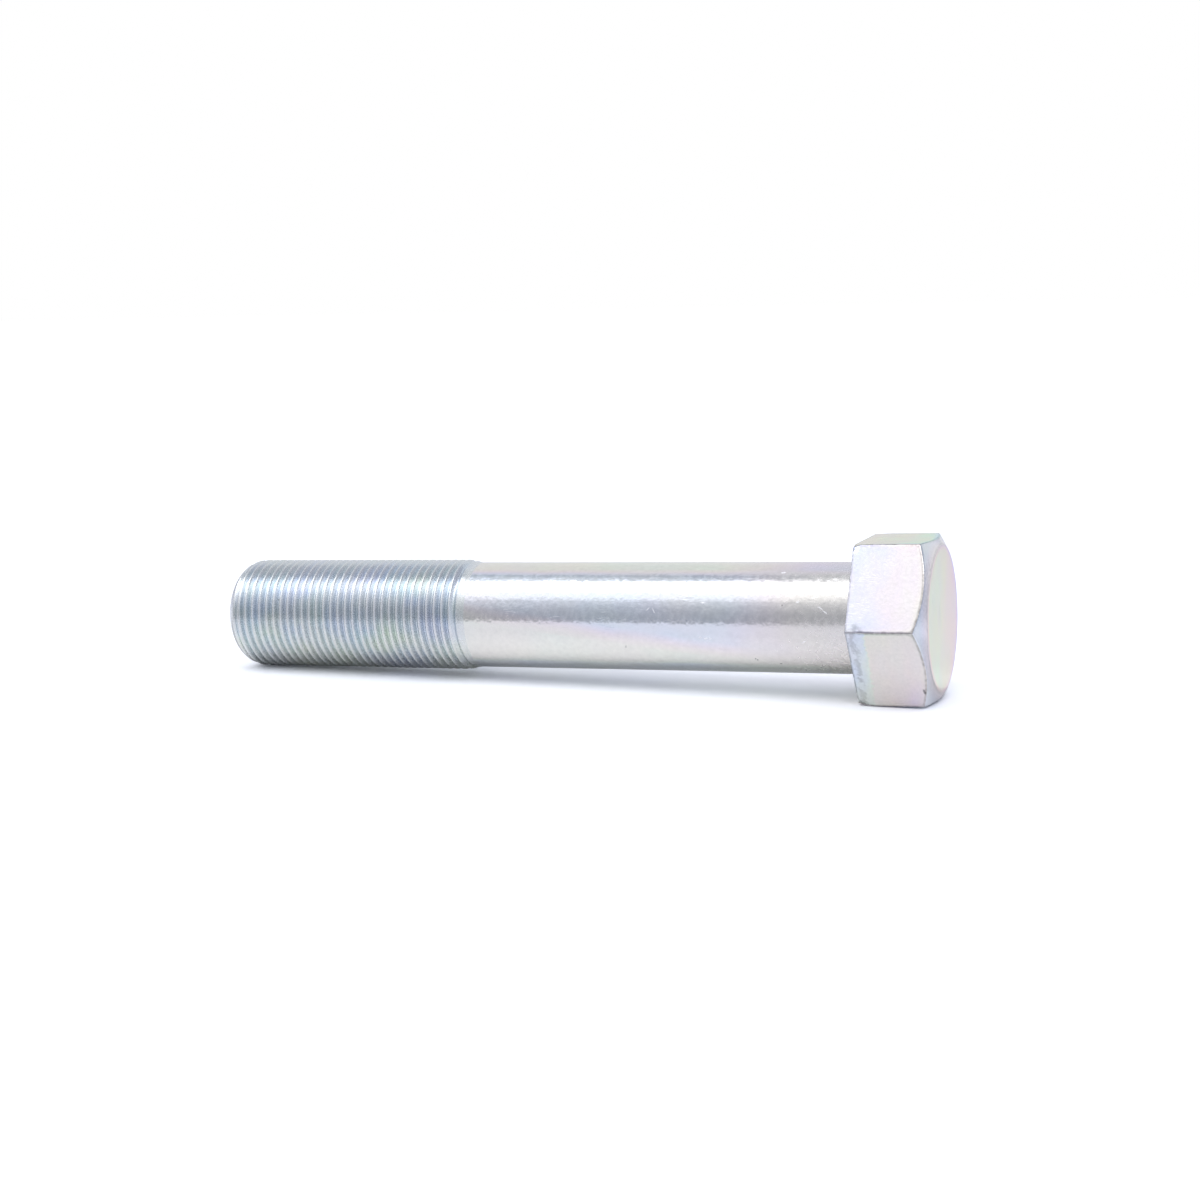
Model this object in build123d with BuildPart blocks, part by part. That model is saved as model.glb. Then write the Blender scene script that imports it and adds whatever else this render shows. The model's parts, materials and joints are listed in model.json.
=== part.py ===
from build123d import *
from math import asin, atan2, cos, hypot, radians, sin, tan
import os

# Hexagon bolt, one forged and rolled piece, lying as it comes to rest on a flat surface.
# Millimetres, +Z up, origin under the middle of the bolt at the height of that surface.
# Head towards +X, threaded end towards -X, two of the head's flats level across the bolt.

# ---- head ----
across_flats = 27.0  # wrench size
head_height = 13.0  # bearing face to end face
end_circle_inset = 1.15  # from the flats in to the circle that the end chamfer leaves
end_chamfer_angle = 30.0  # degrees from the end face
neck_fillet = 0.8  # where the shank meets the bearing face

# ---- shank and thread ----
length = 120.0  # bearing face to tip
thread_dia = 20.0  # nominal size, over the thread's crests
thread_pitch = 1.5  # fine pitch
thread_length = 46.0  # tip to the last full turn
runout_turns = 1.6  # turns in which the thread fades into the shank
lead_length = 3.8  # rounded lead at the tip, along the axis
lead_depth = 2.25  # from the crests in to the edge of the tip's flat face

# ---- sizes that follow ----
# The blank is rolled at the pitch diameter, so the shank is thinner than the thread.
pitch_dia_factor = 0.6495  # thread_dia less this many pitches is the pitch diameter
shank_dia = thread_dia - pitch_dia_factor * thread_pitch
runout_length = runout_turns * thread_pitch
corner_radius = across_flats / 2 / cos(radians(30.0))
end_circle_radius = across_flats / 2 - end_circle_inset
end_chamfer_depth = (corner_radius - end_circle_radius) * tan(radians(end_chamfer_angle))
tip_face_radius = thread_dia / 2 - lead_depth
lead_arc_radius = (lead_length**2 + lead_depth**2) / (2 * lead_depth)

# ---- resting pose ----
# The bolt rests on the bearing-side edge of the head's lowest flat and on the crest where the
# lead's arc begins. The surface touches that arc, so the tilt is the angle to its centre less
# the angle that the arc's radius takes up.
arc_reach = length - lead_length
arc_rise = (across_flats - thread_dia) / 2 + lead_arc_radius
tilt = atan2(arc_rise, arc_reach) - asin(lead_arc_radius / hypot(arc_rise, arc_reach))

# Unit vectors: along the axis from tip to head, and across it, upwards.
along = Vector(cos(tilt), 0, sin(tilt))
across = Vector(-sin(tilt), 0, cos(tilt))

# The bearing face's centre, placed so that the bolt's extents are centred on the origin.
head_reach = head_height * cos(tilt) + end_circle_radius * sin(tilt)
tip_reach = length * cos(tilt) + tip_face_radius * sin(tilt)
bearing_centre = Vector((tip_reach - head_reach) / 2, 0, across_flats / 2 * cos(tilt))

# The head is drawn on the bearing face, and turned outlines in the plane that holds the axis.
bearing_plane = Plane(origin=bearing_centre, x_dir=across, z_dir=along)
turning_plane = Plane(origin=bearing_centre, x_dir=along, z_dir=(0, -1, 0))
bolt_axis = Axis(bearing_centre, along)

with BuildPart() as bolt:
    # Hexagonal head, with a corner pointing to each side and a flat at top and bottom.
    with BuildSketch(bearing_plane):
        RegularPolygon(across_flats / 2, 6, major_radius=False, rotation=30)
    extrude(amount=head_height)

    # The end face is turned to a wide chamfer that curves down over each corner.
    with BuildSketch(turning_plane):
        with BuildLine():
            Polyline(
                (0, 0),
                (0, corner_radius),
                (head_height - end_chamfer_depth, corner_radius),
                (head_height, end_circle_radius),
                (head_height, 0),
                close=True,
            )
        make_face()
    revolve(axis=bolt_axis, mode=Mode.INTERSECT)

    # Reduced shank, thread run-out, thread over its crests and rounded lead, turned in one.
    with BuildSketch(turning_plane):
        with BuildLine():
            outline = Polyline(
                (0, 0),
                (0, shank_dia / 2),
                (thread_length + runout_length - length, shank_dia / 2),
                (thread_length - length, thread_dia / 2),
                (lead_length - length, thread_dia / 2),
            )
            lead = TangentArc(outline @ 1, (-length, tip_face_radius), tangent=(-1, 0))
            Polyline(lead @ 1, (-length, 0), (0, 0))
        make_face()
    revolve(axis=bolt_axis)

    # Fillet where the shank meets the bearing face.
    neck_edge = bolt.edges().filter_by(GeomType.CIRCLE).sort_by_distance(bearing_centre)[0]
    fillet(neck_edge, neck_fillet)

bolt.part.label = "bolt"

os.makedirs("parts", exist_ok=True)
export_step(bolt.part, "parts/bolt.step")
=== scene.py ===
import json
import math

import bmesh
import bpy
from bpy.props import FloatProperty, FloatVectorProperty, IntProperty, PointerProperty
from mathutils import Matrix, Vector, noise


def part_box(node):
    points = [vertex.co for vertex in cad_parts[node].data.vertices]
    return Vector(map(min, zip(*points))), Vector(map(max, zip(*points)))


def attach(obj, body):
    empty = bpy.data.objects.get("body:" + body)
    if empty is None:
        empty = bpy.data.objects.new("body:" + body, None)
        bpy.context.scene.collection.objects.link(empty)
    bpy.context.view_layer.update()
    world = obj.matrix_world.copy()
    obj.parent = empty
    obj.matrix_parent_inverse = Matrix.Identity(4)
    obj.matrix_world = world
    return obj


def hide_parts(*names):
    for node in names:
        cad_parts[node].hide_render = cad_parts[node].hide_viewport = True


bl_info = {
    "name": "Zinc Plated Hexagon Bolt",
    "version": (1, 0, 0),
    "blender": (4, 5, 0),
    "location": "View3D > Sidebar > Bolt",
    "description": "Dresses a fine-thread hexagon bolt and sets it in a plain studio",
    "category": "Add Mesh",
}

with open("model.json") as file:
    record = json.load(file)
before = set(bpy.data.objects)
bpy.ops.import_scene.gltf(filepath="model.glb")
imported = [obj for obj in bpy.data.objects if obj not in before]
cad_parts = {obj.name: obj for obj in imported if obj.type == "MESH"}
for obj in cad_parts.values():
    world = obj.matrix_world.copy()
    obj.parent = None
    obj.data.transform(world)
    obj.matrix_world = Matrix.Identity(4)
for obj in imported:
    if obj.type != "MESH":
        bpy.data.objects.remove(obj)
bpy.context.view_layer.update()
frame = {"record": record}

# ---------------------------------------------------------------- the frame

MM = 0.001
BODY = "root"
NODE = "bolt"
SIDES = 6
HALF_SIDE = math.radians(180 / SIDES)


def mount(name):
    """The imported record's mount of that name."""
    for entry in frame["record"]["mounts"]:
        if entry["name"] == name:
            return entry
    raise RuntimeError(f"the record has no mount named {name}")


LOW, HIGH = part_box(NODE)
AXIS = Vector(mount("drive_hex")["axis"]).normalized()
HEAD_MIDDLE = Vector(mount("drive_hex")["pos_m"])
THREAD_MIDDLE = Vector(mount("thread")["pos_m"])
SEAT = HEAD_MIDDLE + AXIS * AXIS.dot(Vector(mount("bearing_face")["pos_m"]) - HEAD_MIDDLE)
THREAD_SIZES = mount("thread")["dims"]


def bolt_axes():
    """The bolt's own axes: X from the bearing face to the end of the head, Y level, Z up."""
    side = Vector((0, 1, 0))
    up = AXIS.cross(side)
    axes = Matrix((AXIS, side, up)).transposed().to_4x4()
    axes.translation = SEAT
    return axes


# ----------------------------------------------------------------- settings


def length_setting(name, description, default):
    """A length in metres."""
    return FloatProperty(name=name, description=description, default=default, unit="LENGTH", precision=5)


def share_setting(name, description, default, most=1.0):
    """A share from 0 up."""
    return FloatProperty(name=name, description=description, default=default, min=0, max=most)


def angle_setting(name, description, degrees):
    """An angle, given in degrees."""
    return FloatProperty(
        name=name, description=description, default=math.radians(degrees), subtype="ANGLE", unit="ROTATION"
    )


def colour_setting(name, description, default):
    """A colour in red, green and blue."""
    return FloatVectorProperty(
        name=name, description=description, default=default, subtype="COLOR", size=3, min=0, max=1
    )


class BoltShape(bpy.types.PropertyGroup):
    """Sizes of the bolt that its frame leaves to the finished piece."""

    across_flats: length_setting(
        "Across flats", "Width of the hexagon from flat to flat", (HIGH.y - LOW.y) * math.cos(HALF_SIDE)
    )
    head_height: length_setting(
        "Head height", "From the bearing face to the end of the head", (HEAD_MIDDLE - SEAT).length * 2
    )
    end_circle_inset: length_setting("End circle inset", "From a flat in to the end face's circle", 1.15 * MM)
    end_chamfer: angle_setting("End chamfer", "Slope of the cone that trims the corners", 30)
    edge_round: length_setting("Edge rounding", "Width of the soft edge round the head", 0.2 * MM)
    neck_fillet: length_setting("Neck fillet", "Radius where the shank meets the head", 0.8 * MM)
    thread_diameter: length_setting("Thread diameter", "Over the crests", THREAD_SIZES["r_mm"] * 2 * MM)
    full_thread: length_setting("Full thread", "Length with whole crests", THREAD_SIZES["length_mm"] * MM)
    pitch: length_setting("Pitch", "From crest to crest", 1.5 * MM)
    first_crest: length_setting(
        "First crest", "From the bearing face to the first whole crest on the near side", 74.97 * MM
    )
    runout: length_setting("Run-out", "Length over which the thread fades into the shank", 3.0 * MM)
    lead_length: length_setting("Lead length", "Length of the rounded lead at the tip", 3.8 * MM)
    lead_depth: length_setting("Lead depth", "How far the lead draws in at the tip", 2.25 * MM)
    tip_round: length_setting("Tip rounding", "Width of the soft rim at the tip", 0.2 * MM)
    thread_steps: IntProperty(
        name="Thread steps", description="Steps in one turn of the thread", default=120, min=24
    )
    side_steps: IntProperty(
        name="Side steps", description="Steps along each side of the head", default=60, min=6
    )


class BoltFinish(bpy.types.PropertyGroup):
    """Colour and wear of the zinc plating."""

    zinc: colour_setting("Zinc", "Colour of the bare plating", (0.72, 0.725, 0.73))
    tint: share_setting("Tint", "Strength of the colours in the clear passivation", 1.0, 3.0)
    roughness: share_setting("Roughness", "Roughness of the shank", 0.17)
    grain: share_setting("Grain", "Strength of the fine texture of the plating", 1.0, 3.0)
    wear: share_setting("Wear", "Strength of the marks from handling", 1.0, 3.0)
    edge_wear: share_setting("Edge wear", "Depth of the nicks along the edges of the head", 1.0, 3.0)


class BoltStudio(bpy.types.PropertyGroup):
    """Light, floor and camera."""

    floor: colour_setting("Floor", "Colour of the floor", (0.9, 0.9, 0.9))
    floor_seen: share_setting("Floor seen", "How much whiter the floor looks than it lights", 1.5, 3.0)
    floor_mirrored: FloatVectorProperty(
        name="Floor mirrored", description="The same, for the floor in the plating", default=(1.2, 1.16, 1.12)
    )
    # Painted light and shade in the floor as the plating mirrors it: lighter close by, a painted shadow
    # beneath the bolt, darker towards the camera.
    floor_painted_light_near: share_setting("Floor near", "How much more the plating shows of the floor close by", 0.2, 3.0)
    floor_painted_shadow_under: share_setting("Floor under", "How much less it shows of the floor beneath it", 0.3)
    floor_painted_shade_end: share_setting("Floor end", "How much less it shows of the floor towards the camera", 0.5)
    lamp: share_setting("Lamp", "Brightness of the softbox as a light", 0.82, 10.0)
    # The softbox in the plating is a painted highlight: a glowing card, not the lamp.
    softbox: share_setting("Softbox", "Brightness of the softbox's lower edge in the plating", 1.39, 10.0)
    softbox_top: share_setting("Softbox top", "The same for the rest of it", 2.8, 10.0)
    fill: share_setting("Fill", "Brightness of the room's own light", 0.83, 2.0)
    fill_colour: colour_setting("Fill colour", "Colour of the room's own light", (0.83, 0.87, 1.0))
    # The cards glow and are seen only in the plating: painted reflections.
    front_card: colour_setting("Front card", "Grey of the card on the camera's side", (0.51, 0.525, 0.56))
    side_card: colour_setting("Side cards", "Grey of the cards beyond the two ends", (0.72, 0.74, 0.82))
    gap_card: colour_setting("Gap card", "Grey of the strip above the bolt", (0.6, 0.63, 0.66))
    gap_card_near: colour_setting("Gap card edge", "The same, at its edge by the softbox", (0.96, 0.98, 1.0))
    ceiling_card: colour_setting("Ceiling card", "Grey of the card over the far side", (0.89, 0.9, 0.92))
    horizon_card: colour_setting("Horizon card", "Grey of its lower edge", (0.78, 0.805, 0.825))
    wing_cards: colour_setting("Wing cards", "Grey of the cards to either side of that", (0.52, 0.53, 0.59))
    camera_azimuth: angle_setting("Camera azimuth", "Round from square on, towards the head", 21.538)
    camera_elevation: angle_setting("Camera elevation", "Above level", 8.731)
    camera_roll: angle_setting("Camera roll", "Turn about the line of sight", -1.229)
    camera_distance: length_setting("Camera distance", "From the aim point", 344.752 * MM)
    aim_along: length_setting("Aim along", "Aim point along the bolt, from the middle", 5.12 * MM)
    aim_height: length_setting("Aim height", "Aim point above the floor", 14.833 * MM)
    lens: FloatProperty(name="Lens", description="Focal length", default=58.212, unit="CAMERA")


# -------------------------------------------------------------- mesh helpers

# Points no further apart than this are the same point.
TOUCHING = 1e-3 * MM
# A cut leaves points this close together, and they are merged.
CUT_SLIVER = 0.02 * MM


def smooth(value, start, end):
    """Rises smoothly from 0 at start to 1 at end."""
    share = min(max((value - start) / (end - start), 0.0), 1.0)
    return share * share * (3 - 2 * share)


def off_axis(place):
    """Distance from the bolt's axis."""
    return math.hypot(place.y, place.z)


def set_radius(vert, radius):
    """Moves a point straight in or out, to that distance from the axis."""
    scale = radius / off_axis(vert.co)
    vert.co.y *= scale
    vert.co.z *= scale


def draw_on(bm, edges, move):
    """Extrudes a loop of edges, moves the new loop with move(vert) and returns its edges."""
    made = bmesh.ops.extrude_edge_only(bm, edges=edges)["geom"]
    verts = {part for part in made if isinstance(part, bmesh.types.BMVert)}
    for vert in verts:
        move(vert)
    return [part for part in made if isinstance(part, bmesh.types.BMEdge) and verts.issuperset(part.verts)]


def draw_rings(bm, loop, moves):
    """Draws a loop on once for each move, and returns the last loop."""
    for move in moves:
        loop = draw_on(bm, loop, move)
    return loop


def move_to(along, radius):
    """A move for draw_on: to a ring of that radius at that place along the axis."""

    def move(vert):
        vert.co.x = along
        set_radius(vert, radius)

    return move


def edges_at(bm, along):
    """The open edges in the plane at that distance along the axis."""
    return [e for e in bm.edges if e.is_boundary and all(abs(v.co.x - along) < TOUCHING for v in e.verts)]


def clean_rim(bm, along):
    """The same, once points that a cut left almost on top of each other are merged."""
    rim = dict.fromkeys(v for e in edges_at(bm, along) for v in e.verts)
    bmesh.ops.remove_doubles(bm, verts=list(rim), dist=CUT_SLIVER)
    return edges_at(bm, along)


def bevel(bm, edges, width, segments):
    """Rounds edges, and returns what the operator made."""
    return bmesh.ops.bevel(
        bm,
        geom=edges,
        affect="EDGES",
        offset_type="OFFSET",
        offset=width,
        segments=segments,
        profile=0.5,
        material=-1,
        clamp_overlap=True,
    )


def new_skin():
    """An empty mesh in the making, with the values that its materials read at each point."""
    bm = bmesh.new()
    for name in ("worn", "rim", "roll", "groove", "film"):
        bm.verts.layers.float.new(name)
    return bm


def finished_mesh(bm, name):
    """Turns what was modelled into a mesh of that name."""
    mesh = bpy.data.meshes.new(name)
    bm.to_mesh(mesh)
    bm.free()
    return mesh


def new_object(context, name, data):
    """An object in the scene."""
    made = bpy.data.objects.new(name, data)
    context.scene.collection.objects.link(made)
    return made


def grain_at(place, size, seed=0.0):
    """Steady noise between -1 and 1, with features of that size."""
    return noise.noise(place / size + Vector((seed, seed * 0.7, -seed)))


# ------------------------------------------------------------------- thread


def shank_radius(shape):
    """A reduced shank has the pitch diameter of its thread."""
    return (shape.thread_diameter - 0.6495 * shape.pitch) / 2


def full_length(shape):
    """From the bearing face to the tip."""
    return (THREAD_MIDDLE - SEAT).length + shape.full_thread / 2 + shape.lead_length


def thread_start(shape):
    """From the bearing face to the first whole crest all round."""
    return (THREAD_MIDDLE - SEAT).length - shape.full_thread / 2


def shank_start(shape):
    """Where the shank takes over from the thread, just past the run-out."""
    return shape.runout - thread_start(shape) + 0.3 * MM


# The depth of a 60 degree thread with a rounded root, in pitches.
THREAD_DEPTH = 0.6134


def one_pitch(pitch):
    """Points of the 60 degree profile from one crest to the next, as (way along, depth)."""
    crest = pitch / 16
    depth = THREAD_DEPTH * pitch
    root = 0.1443 * pitch
    slope = math.tan(math.radians(60))
    rise = [(0.0, 0.0), (0.6 * crest, 0.0), (1.35 * crest, 0.35 * crest * slope)]
    round_root = [
        (pitch / 2 - root * math.sin(math.radians(turn)), depth - root * (1 - math.cos(math.radians(turn))))
        for turn in (60, 30, 0)
    ]
    mid_flank = tuple((a + b) / 2 for a, b in zip(rise[-1], round_root[0]))
    half = rise + [mid_flank] + round_root
    back = [(pitch - along, deep) for along, deep in half[1:-1]]
    return half + back[::-1]


def spin_thread(bm, shape):
    """Winds the profile round the axis as a right-hand helix, longer than it is needed."""
    radius = shape.thread_diameter / 2
    length = full_length(shape)
    lead_in = thread_start(shape) - shape.runout - 2 * shape.pitch
    first = shape.first_crest - math.ceil((shape.first_crest - lead_in) / shape.pitch) * shape.pitch
    turns = math.ceil((length - first) / shape.pitch) + 1
    profile = one_pitch(shape.pitch)
    verts = [
        bm.verts.new((-(first + turn * shape.pitch + along), depth - radius, 0))
        for turn in range(turns)
        for along, depth in profile
    ]
    edges = [bm.edges.new(pair) for pair in zip(verts, verts[1:])]
    bmesh.ops.spin(
        bm,
        geom=verts + edges,
        cent=(0, 0, 0),
        axis=(1, 0, 0),
        dvec=(-shape.pitch / shape.thread_steps, 0, 0),
        angle=-math.tau,
        steps=shape.thread_steps,
        use_merge=False,
        use_duplicate=False,
    )
    bmesh.ops.remove_doubles(bm, verts=bm.verts[:], dist=TOUCHING)


def shape_thread(bm, shape):
    """Fades the thread out at the shank, and rounds it over at the tip."""
    crest = shape.thread_diameter / 2
    shank = shank_radius(shape)
    fade_end = thread_start(shape)
    fade_start = fade_end - shape.runout
    lead_start = full_length(shape) - shape.lead_length
    lead_arc = (shape.lead_length ** 2 + shape.lead_depth ** 2) / (2 * shape.lead_depth)
    groove = bm.verts.layers.float["groove"]
    for vert in bm.verts:
        along = -vert.co.x
        whole = smooth(along, fade_start, fade_end)
        radius = shank + (off_axis(vert.co) - shank) * whole
        past = min(max(along - lead_start, 0.0), lead_arc * 0.98)
        lead = crest - lead_arc + math.sqrt(lead_arc ** 2 - past ** 2)
        set_radius(vert, min(radius, lead))
        vert[groove] = whole * max(min(crest, lead) - radius, 0.0) / (THREAD_DEPTH * shape.pitch)


def cut_off(bm, along, towards):
    """Cuts off what is beyond that place, towards +1 or -1 along the axis."""
    bmesh.ops.bisect_plane(
        bm,
        geom=bm.verts[:] + bm.edges[:] + bm.faces[:],
        dist=1e-4 * MM,
        plane_co=(along, 0, 0),
        plane_no=(towards, 0, 0),
        clear_outer=True,
    )


# The rings of the tip's soft rim: how much of its width is left, and how many widths in they are.
TIP_RIM = ((0.45, 0.7), (0.15, 1.35), (0.0, 2.2))
# The rings of its dish: their share of the tip's radius, and their depth in millimetres.
TIP_DISH = ((0.8, 0.02), (0.6, 0.06), (0.4, 0.09), (0.2, 0.11), (0.06, 0.12))


def close_tip(bm, shape):
    """Shears the tip off square, with a soft rim and a shallow dish."""
    tip = -full_length(shape)
    width = shape.tip_round
    loop = clean_rim(bm, tip + width)
    radius = off_axis(loop[0].verts[0].co)
    rim = [move_to(tip + width * left, radius - width * inwards) for left, inwards in TIP_RIM]
    radius = shape.thread_diameter / 2 - shape.lead_depth
    dish = [move_to(tip + depth * MM, radius * share) for share, depth in TIP_DISH]
    bmesh.ops.contextual_create(bm, geom=draw_rings(bm, loop, rim + dish))


def make_thread(bm, shape):
    """The threaded end, open where the shank joins it."""
    spin_thread(bm, shape)
    shape_thread(bm, shape)
    cut_off(bm, shape.tip_round - full_length(shape), -1)
    cut_off(bm, shank_start(shape), 1)
    close_tip(bm, shape)


# -------------------------------------------------------------------- shank

SHANK_RINGS = 36
FILLET_RINGS = 7


def make_shank(bm, shape):
    """Draws the shank on from the end of the thread, and flares it into the neck fillet."""
    radius = shank_radius(shape)
    start = shank_start(shape)
    end = -shape.neck_fillet
    moves = [
        move_to(start + (end - start) * ring / SHANK_RINGS, radius) for ring in range(1, SHANK_RINGS + 1)
    ]
    for step in range(1, FILLET_RINGS + 1):
        turn = math.radians(90) * step / FILLET_RINGS
        along = end + shape.neck_fillet * math.sin(turn)
        moves.append(move_to(along, radius + shape.neck_fillet * (1 - math.cos(turn))))
    loop = draw_rings(bm, clean_rim(bm, start), moves)
    for vert in {v for e in loop for v in e.verts}:
        vert.co.x = 0.0


# --------------------------------------------------------------------- head


def corner_radius(shape):
    """From the axis to a corner of the hexagon."""
    return shape.across_flats / 2 / math.cos(HALF_SIDE)


def end_circle(shape):
    """Radius of the flat circle on the end face."""
    return shape.across_flats / 2 - shape.end_circle_inset


def cone_height(shape, radius):
    """How far up the head the end chamfer stands at that radius."""
    return shape.head_height - (radius - end_circle(shape)) * math.tan(shape.end_chamfer)


def flat_of(place):
    """Which flat a point of the head is on, and its way along that flat from the middle."""
    turn = math.atan2(place.z, place.y) / (2 * HALF_SIDE)
    index = math.floor(turn) % SIDES
    middle = (index + 0.5) * 2 * HALF_SIDE
    return index, place.z * math.cos(middle) - place.y * math.sin(middle)


# The rings of the flats, in even steps near the bearing face and in shares of the rest above that, and
# the rings of the end chamfer.
NEAR_RINGS = 14
NEAR_RING_STEP = 0.3 * MM
FAR_RINGS = 8
CONE_RINGS = 5
# The rings of the end face and of the bearing face. The first are shares of the end circle, and the
# others are shares of the way in to the open ring, which is itself a share of the end circle.
END_RINGS = (0.93, 0.8, 0.62, 0.42, 0.22, 0.08)
SEAT_RINGS = (0.25, 0.6, 1.0)
SEAT_OPENING = 0.93


def head_rings(bm, shape):
    """The head as rings drawn on from a hexagon: flats, end chamfer and end face."""
    bmesh.ops.create_circle(
        bm, segments=SIDES, radius=corner_radius(shape), matrix=Matrix.Rotation(math.radians(90), 4, "Y")
    )
    bmesh.ops.subdivide_edges(bm, edges=bm.edges[:], cuts=shape.side_steps - 1)
    seat_loop = bm.edges[:]

    near_rings = [step * NEAR_RING_STEP for step in range(1, NEAR_RINGS + 1)]
    loop = seat_loop
    for height in near_rings:
        loop = draw_on(bm, loop, lambda vert, height=height: setattr(vert.co, "x", height))
    start = near_rings[-1]
    for ring in range(1, FAR_RINGS + 1):

        def rise(vert, share=ring / FAR_RINGS):
            vert.co.x = start + (cone_height(shape, off_axis(vert.co)) - start) * share

        loop = draw_on(bm, loop, rise)
    chamfer_loop = loop

    for ring in range(CONE_RINGS):

        def close_in(vert, share=1 / (CONE_RINGS - ring)):
            radius = off_axis(vert.co) * (1 - share) + end_circle(shape) * share
            set_radius(vert, radius)
            vert.co.x = cone_height(shape, radius)

        loop = draw_on(bm, loop, close_in)
    end_loop = loop

    end_moves = [move_to(shape.head_height, end_circle(shape) * share) for share in END_RINGS]
    bmesh.ops.contextual_create(bm, geom=draw_rings(bm, end_loop, end_moves))

    loop = seat_loop
    inner = end_circle(shape) * SEAT_OPENING
    for share in SEAT_RINGS:

        def close_seat(vert, share=share):
            set_radius(vert, off_axis(vert.co) * (1 - share) + inner * share)

        loop = draw_on(bm, loop, close_seat)

    corner = corner_radius(shape)
    upright = [e for e in bm.edges if all(abs(off_axis(v.co) - corner) < TOUCHING for v in e.verts)]
    return seat_loop + chamfer_loop + end_loop + upright


def nearest_rim(shape, place):
    """Distance from a point of the head to the nearest edge of its own face."""
    radius = off_axis(place)
    _, across = flat_of(place)
    to_corner = corner_radius(shape) / 2 - abs(across)
    top = cone_height(shape, radius)
    if place.x > shape.head_height - 0.02 * MM:
        return end_circle(shape) - radius
    if place.x >= top - 0.02 * MM:
        slant = math.cos(shape.end_chamfer)
        edge = shape.across_flats / 2 / max(math.cos(across / (shape.across_flats / 2)), 0.8)
        return min(radius - end_circle(shape), max(edge - radius, 0.0)) / slant
    return max(min(place.x, top - place.x, to_corner), 0.0)


# How deep the trimming die rolls the flats over at the bearing face, in millimetres. On one of them,
# the lower one on the near side, it went deeper and tore the steel.
ROLL_DEPTH = 0.1
TORN_FLAT = 3
TORN_ROLL_DEPTH = 0.26
TEAR_STEP = 0.08
# What keeps the torn strip's look off the other flats and off the end of the head, in millimetres
# outside it.
OTHER_FLATS = 6.0
END_OF_HEAD = 3.0
# Where the film's run of colours stands on each flat: at the middle of its edge by the bearing face,
# and how much it changes in a millimetre along the bolt and across the flat.
FILM_RUNS = (
    (0.3, 0.03, 0.02),
    (0.91, 0.02, 0.0),
    (0.35, 0.03, 0.0),
    (1.06, -0.03, -0.014),
    (0.7, -0.03, 0.01),
    (0.5, 0.04, -0.02),
)
# Two ragged lines on a flat, the upper one where the rolled-over strip ends and the lower one where it
# is torn: the height above the bearing face, and the depth, size and seed of each wave.
STRIP_LINE = (3.3, ((0.5, 4, 0), (0.3, 0.9, 3)))
LEDGE_LINE = (1.25, ((0.5, 3, 7), (0.35, 0.8, 4)))


def line_height(across, index, line):
    """How high one of these lines runs at that place across that flat."""
    height, waves = line
    here = Vector((0, across, index * 40 * MM))
    return (height + sum(depth * grain_at(here, size * MM, seed) for depth, size, seed in waves)) * MM


def roll_over(place, wear):
    """How far the trimming has drawn a flat in near the bearing face, in millimetres."""
    index, across = flat_of(place)
    width = line_height(across, index, STRIP_LINE)
    drawn = smooth(width - place.x, 0, width) ** 0.8
    if index != TORN_FLAT:
        return drawn * ROLL_DEPTH * wear
    torn = smooth(line_height(across, index, LEDGE_LINE) - place.x, -0.25 * MM, 0.3 * MM)
    return (drawn * TORN_ROLL_DEPTH + torn * TEAR_STEP) * wear


# Wear of the head, in millimetres. In the near upright edge: how deep the nicks are and how far to
# either side they reach, and how deep its one chip is and how far above the bearing face.
NICK_DEPTH = 0.14
NICK_REACH = 2.0
CHIP_DEPTH = 0.22
CHIP_HEIGHT = 1.7
# How deep the edges are worn, less so by the end chamfer, and how far they wander.
EDGE_DEPTH = 0.035
CHAMFER_DEPTH = 0.012
EDGE_WANDER = 0.02
# Where a corner of the bearing face is, across and up from the axis.
CORNER = (7.8, 13.4)
# The dents at the two near corners: down or up, where each starts across and up, its depth, its height
# above the bearing face, and over how much of that height it fades.
CORNER_DENTS = ((-1, 6.4, 12.4, 0.3, 1.8, 1.6), (1, 6.2, 12.2, 0.35, 1.3, 1.3))


def nick_depth(shape, place):
    """Dents along the nearest upright edge, just above the bearing face, in millimetres."""
    near_edge = smooth(off_axis(place), corner_radius(shape) - 0.8 * MM, corner_radius(shape))
    if place.y > 0 or abs(place.z) > NICK_REACH * MM:
        return 0.0
    stretch = smooth(place.x, 0.3 * MM, 1.2 * MM) * smooth(-place.x, -4.2 * MM, -2.2 * MM)
    dents = max(grain_at(place, 0.4 * MM, 2) + 0.1, 0) + 0.5 * max(grain_at(place, 0.25 * MM, 6), 0)
    chip = smooth(-abs(place.x - CHIP_HEIGHT * MM), -0.5 * MM, -0.1 * MM) * CHIP_DEPTH
    return near_edge * (NICK_DEPTH * stretch * dents + chip)


def corner_dents(place):
    """Dents at the lower and the upper corner of the bearing face, in millimetres."""
    dents = 0.0
    for way, across, up, depth, height, fades_over in CORNER_DENTS:
        share = smooth(way * place.z, up * MM, CORNER[1] * MM)
        share *= smooth(-place.y, across * MM, CORNER[0] * MM)
        dents += depth * share * smooth(height * MM - place.x, 0, fades_over * MM)
    return dents


def wear_head(bm, shape, wear):
    """Rolls the flats over, and nicks and softens the edges."""
    worn = bm.verts.layers.float["worn"]
    for vert in bm.verts:
        place = vert.co.copy()
        radius = off_axis(place)
        if radius < end_circle(shape):
            continue
        edge = vert[worn]
        below_cone = cone_height(shape, radius) - place.x
        ragged = max(grain_at(place, 0.6 * MM, 11), 0) + 0.6 * max(grain_at(place, 1.7 * MM, 5), 0)
        depth = EDGE_DEPTH if below_cone > 0.6 * MM else CHAMFER_DEPTH
        inwards = (depth * edge * ragged + nick_depth(shape, place) + corner_dents(place)) * wear
        if below_cone > 0.3 * MM:
            inwards += roll_over(place, wear)
        set_radius(vert, radius - inwards * MM)
        vert.co.x += EDGE_WANDER * MM * edge * grain_at(place, 0.7 * MM, 9)


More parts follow.
